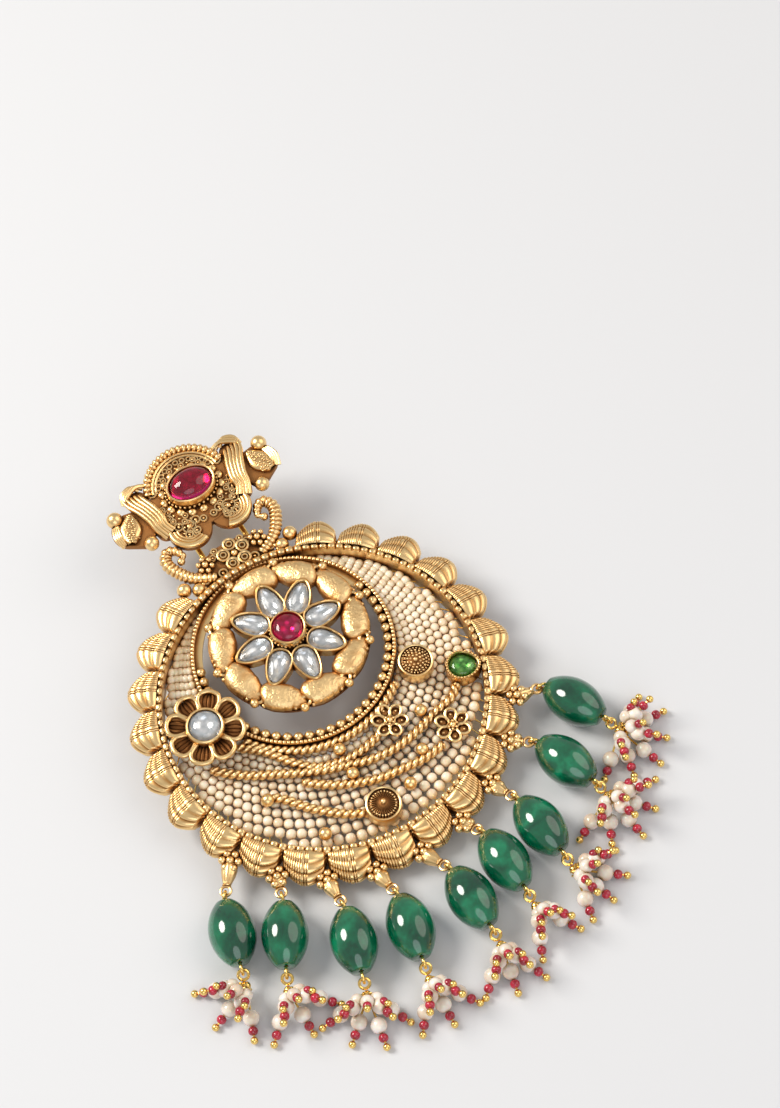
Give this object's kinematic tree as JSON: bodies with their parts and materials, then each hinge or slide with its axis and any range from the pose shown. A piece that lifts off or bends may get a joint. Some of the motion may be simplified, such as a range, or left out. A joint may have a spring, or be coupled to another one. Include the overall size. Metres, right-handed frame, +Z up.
{
  "type": "chandbali earring",
  "caption": "Crescent drop earring lying face up: a jewelled stud hinged to a pearl-filled crescent with a flower medallion, green bead drops and pearl tassels.",
  "frame": {"origin": "middle of the bounding box, on the surface that the earring lies on", "axes": "+Z up from the surface; +Y along the earring from the drops to the stud; +X across it, to the right as it is seen from above"},
  "size_m": [0.0908, 0.1144, 0.0164],
  "materials": {
    "antique_gold": "antique matt gold plate, darkened in the hollows",
    "bright_gold": "polished gold plate",
    "ruby": "polished glass stone, magenta red",
    "clear_stone": "foil-backed clear faceted glass",
    "pale_green_stone": "foil-backed green faceted glass",
    "emerald_bead": "polished glass bead",
    "pearl": "cream pearl lustre"
  },
  "bodies": {
    "chand": {"crescent_frame": "antique_gold", "hinge_tube": "antique_gold", "pearl_field": "pearl", "ornament_spray": "antique_gold", "flower_stone": "clear_stone", "green_stone": "pale_green_stone", "medallion_setting": "antique_gold", "medallion_ruby": "ruby", "pear_stone_1": "clear_stone", "pear_stone_2": "clear_stone", "pear_stone_3": "clear_stone", "pear_stone_4": "clear_stone", "pear_stone_5": "clear_stone", "pear_stone_6": "clear_stone", "pear_stone_7": "clear_stone", "pear_stone_8": "clear_stone", "green_bead_1": "emerald_bead", "green_bead_2": "emerald_bead", "green_bead_3": "emerald_bead", "green_bead_4": "emerald_bead", "green_bead_5": "emerald_bead", "green_bead_6": "emerald_bead", "green_bead_7": "emerald_bead", "green_bead_8": "emerald_bead", "green_bead_9": "emerald_bead", "bead_wires": "bright_gold", "tassel_1": "pearl", "tassel_2": "pearl", "tassel_3": "pearl", "tassel_4": "pearl", "tassel_5": "pearl", "tassel_6": "pearl", "tassel_7": "pearl", "tassel_8": "pearl", "tassel_9": "pearl"},
    "stud": {"stud_plate": "antique_gold", "stud_ruby": "ruby", "ear_post": "bright_gold", "bail_wire": "bright_gold"},
    "nut": {"push_nut": "bright_gold"}
  },
  "joints": [
    {"name": "stud_hinge", "type": "hinge", "parent": "chand", "child": "stud", "pos_m": [-0.00216, 0.03662, 0.0078], "axis": [1, 0, 0], "range_deg": [-80, 0]},
    {"name": "nut_slide", "type": "slide", "parent": "stud", "child": "nut", "axis": [0, 0.1092, -0.994], "range_m": [-0.004, 0.0063]}
  ]
}
